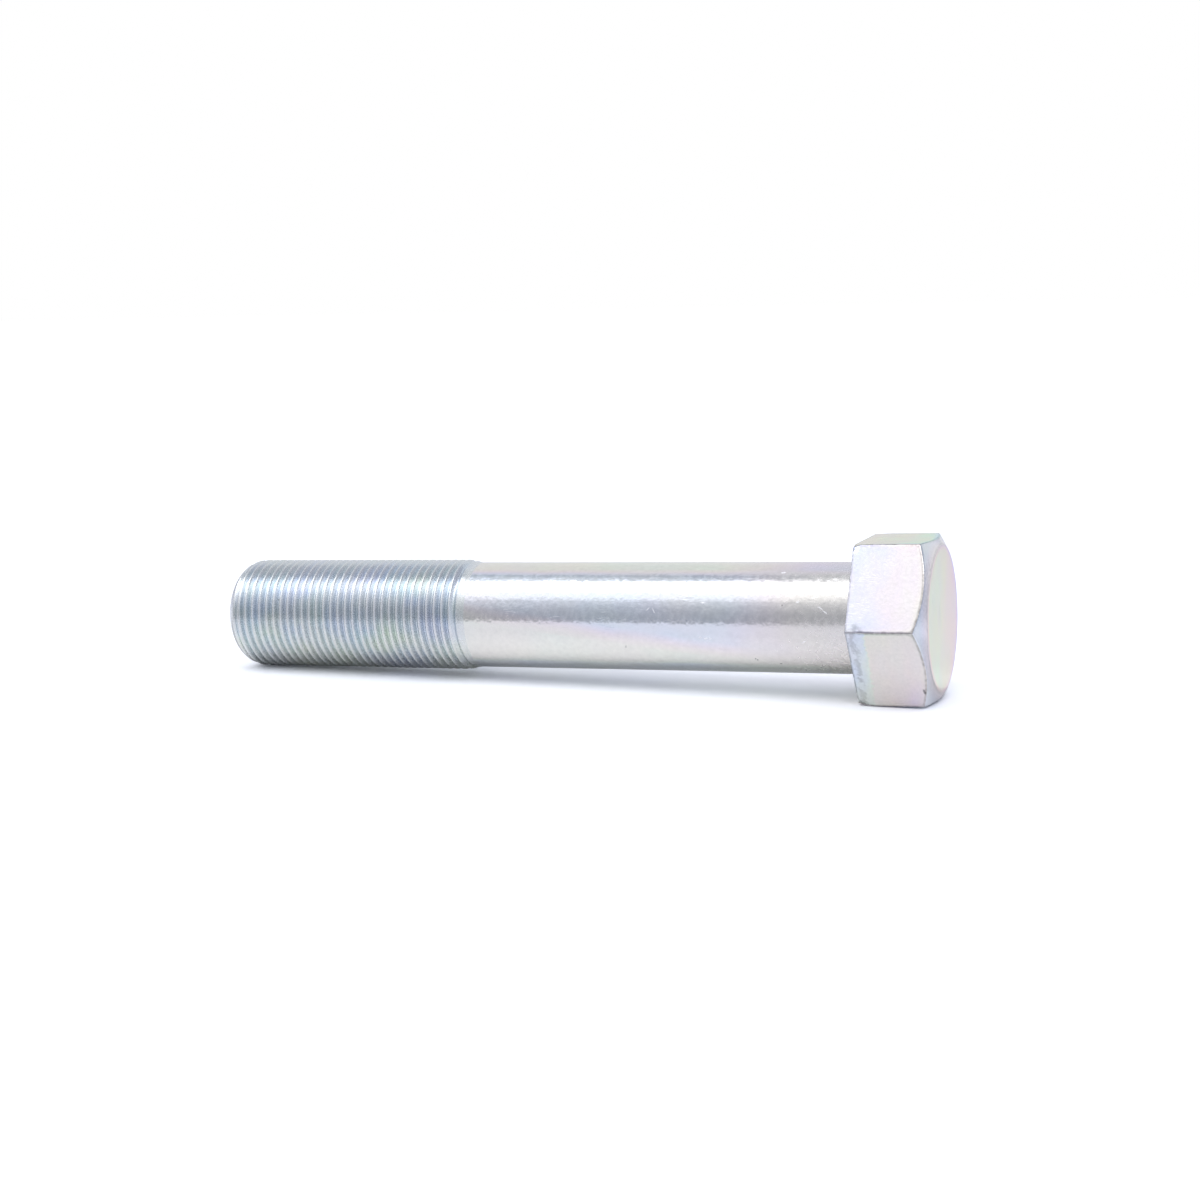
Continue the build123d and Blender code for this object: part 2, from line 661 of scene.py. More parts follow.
def make_head(shape, finish):
    """The hexagon head in a mesh of its own, open where the shank joins it."""
    bm = new_skin()
    sharp = head_rings(bm, shape)
    rounded = bevel(bm, sharp, shape.edge_round, 3)
    worn, rim, roll, film = (bm.verts.layers.float[name] for name in ("worn", "rim", "roll", "film"))
    for vert in rounded["verts"]:
        vert[worn] = 1.0
    for vert in bm.verts:
        vert[rim] = nearest_rim(shape, vert.co) / MM
        index, across = flat_of(vert.co)
        start, along, sideways = FILM_RUNS[index]
        vert[film] = start + (along * vert.co.x + sideways * across) / MM
        if vert.co.x < cone_height(shape, off_axis(vert.co)) - 0.3 * MM:
            inside = (line_height(across, index, STRIP_LINE) - vert.co.x) / MM
            vert[roll] = inside if index == TORN_FLAT else inside - OTHER_FLATS
        else:
            vert[roll] = -END_OF_HEAD
    wear_head(bm, shape, finish.edge_wear)
    return finished_mesh(bm, "head")


# ---------------------------------------------------------------- materials


class Value:
    """A node's output, which adds, subtracts, multiplies and divides like a number."""

    def __init__(self, socket):
        self.socket = socket
        self.tree = socket.id_data

    def __add__(self, other):
        return calc("ADD", self, other)

    def __sub__(self, other):
        return calc("SUBTRACT", self, other)

    def __rsub__(self, other):
        return calc("SUBTRACT", other, self)

    def __mul__(self, other):
        return calc("MULTIPLY", self, other)

    def __rtruediv__(self, other):
        return calc("DIVIDE", other, self)


def set_inputs(made, inputs):
    """Sets each input of a node, or links it to another node's output."""
    for name, value in inputs.items():
        if isinstance(value, Value):
            value.tree.links.new(value.socket, made.inputs[name])
        else:
            made.inputs[name].default_value = value


def node(tree, kind, inputs=None, **settings):
    """A new node, with its settings and its inputs."""
    made = tree.nodes.new(kind)
    for name, value in settings.items():
        setattr(made, name, value)
    set_inputs(made, inputs or {})
    return made


def output(tree, kind, inputs, which=0, **settings):
    """One output of a new node."""
    return Value(node(tree, kind, inputs, **settings).outputs[which])


def outputs(tree, kind, inputs=None, **settings):
    """All outputs of a new node by name."""
    return {socket.name: Value(socket) for socket in node(tree, kind, inputs, **settings).outputs}


def tree_of(inputs):
    """The node tree that the first of the linked inputs comes from."""
    return next(value.tree for value in inputs.values() if isinstance(value, Value))


def calc(operation, *values):
    """The result of a Math node."""
    inputs = dict(enumerate(values))
    return output(tree_of(inputs), "ShaderNodeMath", inputs, operation=operation)


def vector_calc(operation, *values, **named):
    """The result of a Vector Math node."""
    inputs = {**dict(enumerate(values)), **named}
    which = "Value" if operation in ("DOT_PRODUCT", "LENGTH") else "Vector"
    return output(tree_of(inputs), "ShaderNodeVectorMath", inputs, which, operation=operation)


def noise_at(place, scale, detail=2.0, roughness=0.5, which="Fac"):
    """Noise between 0 and 1."""
    inputs = {"Vector": place, "Scale": scale, "Detail": detail, "Roughness": roughness}
    return output(place.tree, "ShaderNodeTexNoise", inputs, which)


def fade(value, start, end):
    """Rises smoothly from 0 at start to 1 at end."""
    inputs = {"Value": value, "From Min": start, "From Max": end}
    return output(value.tree, "ShaderNodeMapRange", inputs, interpolation_type="SMOOTHSTEP")


def mapped(place, kind="POINT", **inputs):
    """A place moved, turned and scaled."""
    return output(place.tree, "ShaderNodeMapping", {"Vector": place, **inputs}, vector_type=kind)


def split(place):
    """The X, Y and Z of a place."""
    return list(outputs(place.tree, "ShaderNodeSeparateXYZ", {"Vector": place}).values())


def mix(factor, first, second, clamp=True):
    """A colour between two others."""
    first, second = (colour if isinstance(colour, Value) else (*colour, 1.0) for colour in (first, second))
    inputs = {"Factor": factor, 6: first, 7: second}
    return output(factor.tree, "ShaderNodeMix", inputs, 2, data_type="RGBA", clamp_factor=clamp)


def coordinates(tree):
    """Object coordinates in metres."""
    return output(tree, "ShaderNodeTexCoord", {}, "Object")


def attribute(tree, name):
    """A value that the mesh holds at each point."""
    return output(tree, "ShaderNodeAttribute", {}, "Fac", attribute_name=name)


def new_group(name, inputs, results):
    """An empty node group with named sockets. Returns it with what it is given."""
    tree = bpy.data.node_groups.new(name, "ShaderNodeTree")
    for label, default in inputs.items():
        kind = "NodeSocketVector" if isinstance(default, tuple) else "NodeSocketFloat"
        tree.interface.new_socket(label, in_out="INPUT", socket_type=kind).default_value = default
    for label, kind in results.items():
        tree.interface.new_socket(label, in_out="OUTPUT", socket_type="NodeSocket" + kind)
    return tree, outputs(tree, "NodeGroupInput")


def give(tree, results):
    """Ends a node group with what it puts out."""
    node(tree, "NodeGroupOutput", results)


def placed_group(tree, name, inputs):
    """Places the node group of that name and returns its outputs."""
    made = node(tree, "ShaderNodeGroup", node_tree=bpy.data.node_groups[name])
    set_inputs(made, inputs)
    return {socket.name: Value(socket) for socket in made.outputs}


NOWHERE = (0.0, 0.0, 0.0)
UPWARDS = (0.0, 0.0, 1.0)
WHITE = (1.0, 1.0, 1.0)


def place_group():
    """Object coordinates turned into the bolt's own axes, in millimetres."""
    results = {"Place": "Vector", "Along": "Float", "Turn": "Float", "Rise": "Float", "Radius": "Float"}
    tree, _ = new_group("Bolt place", {}, results)
    back = bolt_axes().inverted()
    size = (1 / MM,) * 3
    place = mapped(coordinates(tree), Location=back.translation / MM, Rotation=back.to_euler(), Scale=size)
    along, level, up = split(place)
    turn = calc("ARCTAN2", up, level * -1.0)
    rise = calc("ARCTAN2", up, calc("ABSOLUTE", level))
    radius = calc("SQRT", level * level + up * up)
    turns = {"Turn": turn * (1 / math.tau), "Rise": rise * (1 / math.tau)}
    give(tree, {"Place": place, "Along": along, "Radius": radius, **turns})


# The colours that a clear passivation runs through as its film thickens, as shares of the zinc.
FILM_COLOURS = (
    (0.00, (1.02, 1.02, 0.95)),
    (0.12, (0.97, 1.055, 0.965)),
    (0.22, (0.91, 1.01, 1.06)),
    (0.32, (0.89, 0.975, 1.13)),
    (0.46, (0.95, 0.95, 1.10)),
    (0.62, (1.02, 0.95, 1.03)),
    (0.80, (1.04, 0.985, 0.97)),
    (1.00, (1.02, 1.02, 0.95)),
)


def tint_group():
    """The rainbow tint of the clear passivation, which runs through its colours as Phase rises."""
    inputs = {"Place": NOWHERE, "Phase": 0.0, "Drift size": 12.0, "Drift": 0.2, "Strength": 1.0}
    tree, given = new_group("Passivation tint", inputs, {"Color": "Color"})
    scale = 1.0 / given["Drift size"]
    drift = (noise_at(given["Place"], scale, 3.0, 0.45) - 0.5) * 2.0
    phase = calc("FRACT", drift * given["Drift"] + given["Phase"])
    ramp = node(tree, "ShaderNodeValToRGB", {"Fac": phase})
    stops = ramp.color_ramp.elements
    while len(stops) < len(FILM_COLOURS):
        stops.new(0.5)
    for stop, (position, colour) in zip(stops, FILM_COLOURS):
        stop.position = position
        stop.color = (*colour, 1.0)
    patches = noise_at(given["Place"], scale * 1.7, 1.0)
    strength = given["Strength"] * (patches * 1.4 + 0.3)
    give(tree, {"Color": mix(strength, WHITE, Value(ramp.outputs["Color"]), clamp=False)})


# The size of the patches in which the grain is deeper, in millimetres.
GRAIN_PATCH = 7.0


def grain_group():
    """Fine texture of plating over drawn or forged steel: its height in millimetres and a mottle."""
    inputs = {"Place": NOWHERE, "Size": 0.5, "Depth": 0.003, "Sway size": 6.0, "Sway": 0.01}
    tree, given = new_group("Plating grain", inputs, {"Height": "Float", "Mottle": "Float"})
    place = given["Place"]
    fine = noise_at(place, 1.0 / given["Size"], 1.0)
    broad = noise_at(place, 1.0 / given["Sway size"], 2.0, 0.4)
    patches = noise_at(place, 1.0 / GRAIN_PATCH)
    deep = given["Depth"] * (fade(patches, 0.35, 0.65) * 0.5 + 0.75)
    give(tree, {"Height": fine * deep + broad * given["Sway"], "Mottle": fine})


# Pits from handling: how far apart they could be and how large they are at most, in millimetres, and
# the share of their places that stay without one.
PIT_SPACING = 4.0
PIT_SIZE = 0.16
PITS_LEFT_OUT = 0.72


def marks_group():
    """Pits and fine scratches from handling."""
    results = {"Pits": "Float", "Scratches": "Float"}
    tree, given = new_group("Handling marks", {"Place": NOWHERE}, results)
    place = given["Place"]
    cells = outputs(tree, "ShaderNodeTexVoronoi", {"Vector": place, "Scale": 1.0 / PIT_SPACING})
    chosen = outputs(tree, "ShaderNodeSeparateColor", {"Color": cells["Color"]})
    spot = calc("LESS_THAN", cells["Distance"] * PIT_SPACING, chosen["Green"] * PIT_SIZE)
    pits = spot * calc("GREATER_THAN", chosen["Red"], PITS_LEFT_OUT)

    lines = 0.0
    for turn, stretch in ((0.5, (0.28, 2.4, 2.4)), (-0.9, (0.35, 2.0, 2.0))):
        slanted = mapped(place, Rotation=(turn, turn * 0.6, turn), Scale=stretch)
        beside = calc("ABSOLUTE", noise_at(slanted, 0.5, 1.0) - 0.5)
        lines = calc("MAXIMUM", 1.0 - fade(beside, 0.0, 0.012), lines)
    patch = fade(noise_at(place, 0.22), 0.55, 0.68)
    give(tree, {"Pits": pits, "Scratches": lines * patch})


def edge_group():
    """Dull wear beside the edges and bright wear on them, broken up by noise."""
    inputs = {"Place": NOWHERE, "Worn": 0.0, "Rim": 1.0}
    tree, given = new_group("Edge wear", inputs, {"Dull": "Float", "Bright": "Float"})
    broken = noise_at(given["Place"], 1.4, 3.0, 0.6)
    dull = fade(given["Rim"], 0.45, 0.15) * (fade(broken, 0.35, 0.62) * 0.5 + 0.5)
    bright = fade(given["Worn"], 0.5, 1.0) * fade(broken, 0.6, 0.42)
    give(tree, {"Dull": dull, "Bright": bright})


# How far inside the rolled strip its torn line runs, in millimetres.
TEAR_INSIDE = 2.1


def roll_group():
    """The strip that the trimming rolled over. Depth is how far inside it a point is, in millimetres."""
    results = {"Strip": "Float", "Tear": "Float", "Lumps": "Float"}
    tree, given = new_group("Rolled strip", {"Place": NOWHERE, "Depth": 0.0}, results)
    place, depth = given["Place"], given["Depth"]
    fine = noise_at(place, 1.6, 3.0, 0.6) - 0.5
    coarse = noise_at(place, 0.45) - 0.5
    strip = fade(fine * 1.4 + depth, -0.25, 0.35)
    beside = calc("ABSOLUTE", coarse * 1.8 + fine * 1.8 + depth - TEAR_INSIDE)
    tear = (1.0 - fade(beside, 0.15, 0.85)) * fade(noise_at(place, 0.9), 0.36, 0.5)
    lumps = noise_at(place, 1.1, 2.0, 0.55) * strip
    give(tree, {"Strip": strip, "Tear": tear, "Lumps": lumps})


# Marks from handling: where they are along the bolt and round it from its near side, how long and
# how wide they are, all in millimetres, and their slant in degrees. The bright ones carry a painted
# glint.
PAINTED_GLINT_FLECKS = (
    (-26.6, -2.1, 0.3, 0.13, 0),
    (-25.6, -2.3, 0.42, 0.16, 20),
    (-24.9, -2.3, 0.25, 0.12, -10),
    (-12.9, 10.2, 0.5, 0.25, 0),
    (-3.6, 8.5, 0.45, 0.25, 0),
    (-4.7, 8.2, 0.3, 0.15, 0),
    (-6.5, 8.4, 0.3, 0.12, 0),
    (-9.5, 4.1, 0.35, 0.12, 30),
    (-5.6, 3.1, 0.6, 0.1, -25),
    (-4.7, 2.4, 0.55, 0.1, -35),
    (-8.5, -2.7, 0.4, 0.14, 30),
    (-35.9, 2.7, 0.5, 0.06, 40),
    (-34.8, 2.4, 0.6, 0.06, -55),
    (-26.0, 3.9, 0.5, 0.14, 0),
)
DARK_FLECKS = (
    (-17.5, -6.4, 0.18, 0.1, 70),
    (-17.2, -6.75, 0.22, 0.1, 0),
    (-40.4, -4.1, 0.28, 0.09, 70),
    (-13.3, -7.7, 0.22, 0.09, 0),
    (11.6, -11.9, 0.25, 0.8, 10),
)
# How far noise moves the outline of a fleck, in millimetres.
FLECK_SPREAD = 0.25


def fleck_group():
    """Small marks at their own places: dark ones, and bright ones whose glint is painted."""
    inputs = {"Along": 0.0, "Turn": 0.0, "Radius": 0.0}
    tree, given = new_group("Flecks", inputs, {"Bright": "Float", "Dark": "Float"})
    way_round = given["Turn"] * math.tau * given["Radius"]
    flat = output(tree, "ShaderNodeCombineXYZ", {"X": given["Along"], "Y": way_round})
    ragged = noise_at(flat, 3.0, which="Color")
    place = vector_calc("MULTIPLY_ADD", ragged, (FLECK_SPREAD, FLECK_SPREAD, 0.0), flat)
    shift = FLECK_SPREAD / 2
    found = {}
    for name, flecks in (("Bright", PAINTED_GLINT_FLECKS), ("Dark", DARK_FLECKS)):
        found[name] = 0.0
        for along, round_from_near, length, width, slant in flecks:
            middle = (along + shift, round_from_near + shift, 0.0)
            turn = (0.0, 0.0, math.radians(slant))
            own = mapped(place, "TEXTURE", Location=middle, Rotation=turn, Scale=(length, width, 1.0))
            found[name] = calc("MAXIMUM", fade(vector_calc("LENGTH", own), 1.15, 0.5), found[name])
    give(tree, found)


# Where the film changes on the shank: along it near the head, and in turns up from level.
NEAR_HEAD = (-28.0, -4.0)
ON_TOP = (0.15, 0.19)
BELOW = (-0.12, -0.145)
# Where forging has left the shank duller than drawing did.
FORGED = (-26.0, -1.0)
# How much the marks darken the plating, as shares.
PIT_DARK = 0.45
# The tear's darkening is painted shade along the ledge that the torn strip leaves; the tear itself is real.
TEAR_PAINTED_SHADE = 0.24
FLECK_DARK = 0.6
FORGED_DARK = 0.7
# How far they stand out or in, in millimetres.
PIT_DEPTH = 0.02
SCRATCH_DEPTH = 0.006
TEAR_DEPTH = 0.03
LUMP_HEIGHT = 0.09
FLECK_DEPTH = 0.05
# The painted glint in the bright flecks, a near-white colour in place of the metal: its colour, how
# much of it shows, and how rough it is.
PAINTED_GLINT_COLOUR = (0.95, 0.95, 0.95)
PAINTED_GLINT_SHOWN = 0.7
FLECK_ROUGH = 0.4
# How much smoother an edge is where it is worn bright, and the least roughness of all.
EDGE_SMOOTHER = 0.06
SMOOTHEST = 0.06


def film_phase(tree, where, look, strip):
    """Where a point stands in the film's run of colours: along, round and out, and near its rim."""
    phase = vector_calc("DOT_PRODUCT", where["Place"], look["per_mm"]) + look["start"]
    phase = where["Rise"] * look["per_turn"] + phase
    phase = where["Radius"] * look["per_radius"] + phase
    phase = calc("MINIMUM", calc("MAXIMUM", phase, look["least"]), look["most"])
    if look["film_runs"]:
        phase += attribute(tree, "film")
    if look["at_neck"]:
        neck = fade(where["Along"], *NEAR_HEAD)
        phase += neck * (look["at_neck"] - phase)
        phase += fade(where["Rise"], *ON_TOP) * look["on_top"] * (1.0 - neck * 1.5)
        phase += fade(where["Rise"], *BELOW) * look["below"]
    if look["near_rim"]:
        shift = (1.0 - fade(attribute(tree, "rim"), 0.0, look["rim_width"])) * look["near_rim"]
        if strip:
            shift = calc("MAXIMUM", shift, strip * look["in_strip"])
        phase += shift
    return phase


def film_strength(tree, where, finish, look):
    """How strongly the film colours the zinc: more on top, and deep in the thread."""
    strength = fade(where["Rise"], *ON_TOP) * (finish.tint * look["stronger_on_top"])
    strength += finish.tint * look["strength"]
    if look["stronger_in_groove"]:
        strength += attribute(tree, "groove") * (finish.tint * look["stronger_in_groove"])
    return strength


def zinc_material(name, finish, look):
    """Bright zinc plating. look holds what differs between the surfaces of the bolt."""
    material = bpy.data.materials.new(name)
    material.use_nodes = True
    tree = material.node_tree
    wear = finish.wear
    where = placed_group(tree, "Bolt place", {})
    place = where["Place"]
    rolled = None
    if look["in_strip"]:
        rolled = placed_group(tree, "Rolled strip", {"Place": place, "Depth": attribute(tree, "roll")})
    film = {
        "Place": vector_calc("MULTIPLY", place, look["drawn"]),
        "Phase": film_phase(tree, where, look, rolled and rolled["Strip"]),
        "Drift size": look["drift_size"],
        "Drift": look["drift"],
        "Strength": film_strength(tree, where, finish, look),
    }
    texture = {
        "Place": place,
        "Size": look["grain_size"],
        "Depth": look["grain_depth"] * finish.grain,
        "Sway size": look["sway_size"],
        "Sway": look["sway"] * finish.grain,
    }
    tint = placed_group(tree, "Passivation tint", film)["Color"]
    grain = placed_group(tree, "Plating grain", texture)
    marks = placed_group(tree, "Handling marks", {"Place": place})
    forged = fade(where["Along"], *FORGED) * look["forged"]

    keep = (1.0 - marks["Pits"] * (PIT_DARK * wear)) * (grain["Mottle"] * 0.16 + 0.92)
    keep *= 1.0 - forged * FORGED_DARK
    height = grain["Height"] - marks["Pits"] * PIT_DEPTH - marks["Scratches"] * (SCRATCH_DEPTH * wear)
    roughness = (grain["Mottle"] - 0.5) * look["mottle"] + forged + look["roughness"] * finish.roughness
    if look["edges"]:
        inputs = {"Place": place, "Worn": attribute(tree, "worn"), "Rim": attribute(tree, "rim")}
        edge = placed_group(tree, "Edge wear", inputs)
        keep *= 1.0 - edge["Dull"] * (look["edges"] * wear)
        roughness -= edge["Bright"] * EDGE_SMOOTHER
    if rolled:
        # Painted shade along the torn ledge, beside a real groove in the bump.
        keep *= 1.0 - rolled["Tear"] * (TEAR_PAINTED_SHADE * wear)
        height += rolled["Lumps"] * (LUMP_HEIGHT * wear) - rolled["Tear"] * (TEAR_DEPTH * wear)
    # Painted shade deep in the thread's grooves.
    if look["painted_shade_in_groove"]:
        keep *= 1.0 - attribute(tree, "groove") * look["painted_shade_in_groove"]
    metallic = 1.0
    if look["flecks"]:
        flecks = placed_group(tree, "Flecks", {name: where[name] for name in ("Along", "Turn", "Radius")})
        keep *= 1.0 - flecks["Dark"] * (FLECK_DARK * wear)
        height -= flecks["Dark"] * (FLECK_DEPTH * wear)
        # The bright flecks get a painted glint: a near-white colour that is barely metallic.
        shown = flecks["Bright"] * (PAINTED_GLINT_SHOWN * wear)
        roughness += shown * FLECK_ROUGH
        metallic = 1.0 - shown * 0.9
    # Painted shade: each surface's shade darkens the same zinc for how the light falls on that surface.
    zinc = tuple(channel * look["shade"] for channel in finish.zinc)
    colour = vector_calc("SCALE", vector_calc("MULTIPLY", tint, zinc), Scale=calc("MAXIMUM", keep, 0.0))
    if look["flecks"]:
        colour = mix(shown, colour, PAINTED_GLINT_COLOUR)
    finished = {
        "Base Color": colour,
        "Metallic": metallic,
        "Roughness": calc("MAXIMUM", roughness, SMOOTHEST),
        "Normal": output(tree, "ShaderNodeBump", {"Height": height, "Distance": MM, "Strength": 1.0}),
    }
    set_inputs(tree.nodes["Principled BSDF"], finished)
    return material


# What a surface has unless its own look says otherwise. Sizes are in millimetres, and the film's
# colours run through once as its phase rises by 1. Shade is painted shade: the same zinc made darker
# on a surface for how the light falls on it.
PLAIN_LOOK = {
    "shade": 1.0,
    "strength": 0.8,
    "start": 0.0,
    "per_mm": (0.0, 0.0, 0.0),
    "per_turn": 0.0,
    "per_radius": 0.0,
    "least": -10.0,
    "most": 10.0,
    "at_neck": 0.0,
    "on_top": 0.0,
    "below": 0.0,
    "stronger_on_top": 0.0,
    "stronger_in_groove": 0.0,
    "film_runs": False,
    "near_rim": 0.0,
    "rim_width": 2.0,
    "in_strip": 0.0,
    # Painted shade deep in the thread's grooves.
    "painted_shade_in_groove": 0.0,
    "drawn": (1.0, 1.0, 1.0),
    "drift_size": 8.0,
    "drift": 0.25,
    "grain_size": 0.5,
    "grain_depth": 0.012,
    "sway_size": 5.0,
    "sway": 0.04,
    "roughness": 1.0,
    "mottle": 0.16,
    "forged": 0.0,
    "edges": 0.0,
    "flecks": False,
}
THREAD_LOOK = {
    "shade": 0.95,
    "strength": 0.42,
    "stronger_in_groove": 0.7,
    "start": 0.23,
    "per_turn": 0.2,
    "least": 0.17,
    "painted_shade_in_groove": 0.09,
    "mottle": 0.1,
    "drift_size": 9.0,
    "drift": 0.3,
    "grain_size": 0.35,
    "grain_depth": 0.007,
    "sway_size": 2.0,
    "sway": 0.01,
    "roughness": 1.55,
}
SHANK_LOOK = {
    "strength": 0.65,
    "start": -0.9,
    "per_mm": (-0.028, 0.0, 0.0),
    "per_turn": -12.0,
    "least": 0.34,
    "most": 1.02,
    "at_neck": 0.87,
    "on_top": 0.66,
    "below": 0.18,
    "stronger_on_top": 0.5,
    "drawn": (0.7, 1.0, 1.0),
    "drift_size": 11.0,
    "drift": 0.28,
    "grain_size": 0.8,
    "grain_depth": 0.032,
    "roughness": 0.95,
    "mottle": 0.22,
    "forged": 0.1,
    "flecks": True,
}
FLATS_LOOK = {
    "shade": 0.955,
    "strength": 0.9,
    "film_runs": True,
    "stronger_on_top": 2.4,
    "near_rim": 0.1,
    "rim_width": 1.2,
    "in_strip": 0.26,
    "drawn": (1.2, 0.6, 0.6),
    "drift_size": 6.0,
    "roughness": 1.1,
    "edges": 0.42,
    "flecks": True,
}
CHAMFER_LOOK = {
    "shade": 0.96,
    "strength": 0.7,
    "start": 3.39,
    "per_radius": -0.22,
    "least": 0.3,
    "drift": 0.12,
    "roughness": 1.2,
    "edges": 0.2,
}
SEAT_LOOK = {
    "start": 0.9,
    "roughness": 1.3,
}
END_LOOK = {
    "shade": 0.88,
    "strength": 2.9,
    "start": -0.03,
    "per_mm": (0.0, -0.028, 0.0),
    "most": 0.03,
    "near_rim": -0.28,
    "rim_width": 1.2,
    "drawn": (1.0, 1.0, 0.5),
    "drift_size": 6.0,
    "drift": 0.16,
    "roughness": 1.3,
    "edges": 0.12,
}
SURFACES = (
    ("Bright zinc on the thread", THREAD_LOOK),
    ("Bright zinc on the shank", SHANK_LOOK),
    ("Bright zinc on the bearing face", SEAT_LOOK),
    ("Bright zinc on the hexagon", FLATS_LOOK),
    ("Bright zinc on the end chamfer", CHAMFER_LOOK),
    ("Bright zinc on the end face", END_LOOK),
)
THREAD, SHANK, SEATING, FLATS, CHAMFER, END = range(len(SURFACES))


def bolt_materials(finish):
    """The zinc of each surface, in the order of their names above."""
    groups = (place_group, tint_group, grain_group, marks_group, edge_group, roll_group, fleck_group)
    for make_group in groups:
        make_group()
    return [zinc_material(name, finish, {**PLAIN_LOOK, **look}) for name, look in SURFACES]


def surface_of(shape, place):
    """Which of the bolt's surfaces a point is on."""
    if place.x > shape.head_height - 0.03 * MM and off_axis(place) < end_circle(shape) - 0.05 * MM:
        return END
    if place.x > cone_height(shape, off_axis(place)) - 0.05 * MM:
        return CHAMFER
    if place.x > 0.03 * MM:
        return FLATS
    if place.x >= -0.01 * MM:
        return SEATING
    if place.x > shank_start(shape):
        return SHANK
    return THREAD


# ---------------------------------------------------------------- operators


class BOLT_OT_make_bolt(bpy.types.Operator):
    """Model the bolt in one piece, with its thread, and plate it"""

    bl_idname = "bolt.make_bolt"
    bl_label = "Make the bolt"
    bl_options = {"REGISTER", "UNDO"}

    def execute(self, context):
        shape = context.scene.bolt_shape
        finish = context.scene.bolt_finish
        bm = new_skin()
        make_thread(bm, shape)
        make_shank(bm, shape)
        head = make_head(shape, finish)
        bm.from_mesh(head)
        bpy.data.meshes.remove(head)
        bmesh.ops.triangle_fill(bm, use_beauty=True, edges=[e for e in bm.edges if e.is_boundary])
        bmesh.ops.recalc_face_normals(bm, faces=bm.faces[:])
        if any(not e.is_manifold for e in bm.edges):
            raise RuntimeError("the bolt's skin is not closed")
        for face in bm.faces:
            face.smooth = True
            face.material_index = surface_of(shape, face.calc_center_median())
        bm.transform(bolt_axes())
        mesh = finished_mesh(bm, "hexagon_bolt")
        for material in bolt_materials(finish):
            mesh.materials.append(material)
        bolt = new_object(context, "hexagon_bolt", mesh)
        weighted = bolt.modifiers.new("Flat faces shade flat", "WEIGHTED_NORMAL")
        weighted.weight = 60
        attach(bolt, BODY)
        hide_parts(NODE)
        return {"FINISHED"}


def white_to_the_eye(tree):
    """1 for camera, glossy and transmission rays, and 0 for light on other things."""
    ray = outputs(tree, "ShaderNodeLightPath")
    seen = ray["Is Camera Ray"] + ray["Is Glossy Ray"] + ray["Is Transmission Ray"]
    return calc("MINIMUM", seen, 1.0)


def bare_material(name):
    """A material that has no shader yet, and its node tree."""
    material = bpy.data.materials.new(name)
    material.use_nodes = True
    material.node_tree.nodes.clear()
    return material, material.node_tree


# The line below the bolt, as a place across the floor.
BOLT_LINE = 0.003
# Over which reaches the floor changes, in metres: two beside that line, one along the bolt, one across
# it and one outwards.
CLOSE_BY = (0.033, 0.01)
BENEATH = (0.0105, 0.005)
UNDER_THREAD = (0.0, -0.04)
TOWARDS_CAMERA = (-0.1, -0.16)
FAR_OUT = (0.25, 1.0)
# How much more painted shade the plating shows in the floor under the thread, and how much whiter
# the floor looks far out.
THREAD_SHADE = 0.2
FAR_LIFT = 0.5


def floor_material(studio):
    """Matt, and whiter to the eye and in the plating than in the light that it sends back. In the plating it
    also carries painted light close to the bolt and painted shade beneath it and towards the camera.
    """
    material, tree = bare_material("Studio floor")
    ray = outputs(tree, "ShaderNodeLightPath")
    place = coordinates(tree)
    along, across, _ = split(place)
    beside = calc("ABSOLUTE", across - BOLT_LINE)
    # Painted light and shade in the mirrored floor, by place: lighter close to the bolt, a painted shadow
    # beneath it and more under the thread, darker towards the camera.
    near = fade(beside, *CLOSE_BY) * studio.floor_painted_light_near + 1.0
    shade = fade(along, *UNDER_THREAD) * THREAD_SHADE + studio.floor_painted_shadow_under
    under = 1.0 - fade(beside, *BENEATH) * shade
    end = 1.0 - fade(across, *TOWARDS_CAMERA) * studio.floor_painted_shade_end
    mirrored = tuple(a * b for a, b in zip(studio.floor, studio.floor_mirrored))
    shown = vector_calc("SCALE", mirrored, Scale=near * under * end)
    lift = fade(vector_calc("LENGTH", place), *FAR_OUT) * FAR_LIFT + (studio.floor_seen - 1)
    seen = vector_calc("SCALE", tuple(studio.floor), Scale=ray["Is Camera Ray"] * lift + 1.0)
    colour = mix(ray["Is Glossy Ray"] + ray["Is Transmission Ray"], seen, shown)
    matt = output(tree, "ShaderNodeBsdfDiffuse", {"Color": colour})
    node(tree, "ShaderNodeOutputMaterial", {"Surface": matt})
    return material


def card_material(name, colour, edge_colour=None, edge=None, way=UPWARDS, bend=1.0):
    """An even glow, or one that turns to another colour between two places along a way."""
    material, tree = bare_material(name)
    shown = (*colour, 1.0)
    if edge_colour:
        reach = vector_calc("DOT_PRODUCT", coordinates(tree), way)
        shown = mix(calc("POWER", fade(reach, *edge), bend), colour, edge_colour)
    glow = output(tree, "ShaderNodeEmission", {"Color": shown})
    node(tree, "ShaderNodeOutputMaterial", {"Surface": glow})
    return material


def stage_sheet(context, name, width, depth, place, material):
    """A flat rectangle of the stage, placed by a matrix."""
    bm = bmesh.new()
    bmesh.ops.create_grid(bm, x_segments=1, y_segments=1, size=0.5)
    bmesh.ops.scale(bm, vec=(width, depth, 1), verts=bm.verts)
    bmesh.ops.transform(bm, matrix=place, verts=bm.verts)
    mesh = finished_mesh(bm, name)
    mesh.materials.append(material)
    sheet = new_object(context, name, mesh)
    return sheet


def facing(place, aim):
    """A matrix at place whose Z axis points at aim, with X kept level."""
    towards = (aim - place).normalized()
    level = Vector((0, 0, 1)).cross(towards)
    level = level.normalized() if level.length > 1e-6 else Vector((1, 0, 0))
    turn = Matrix((level, towards.cross(level), towards)).transposed().to_4x4()
    turn.translation = place
    return turn


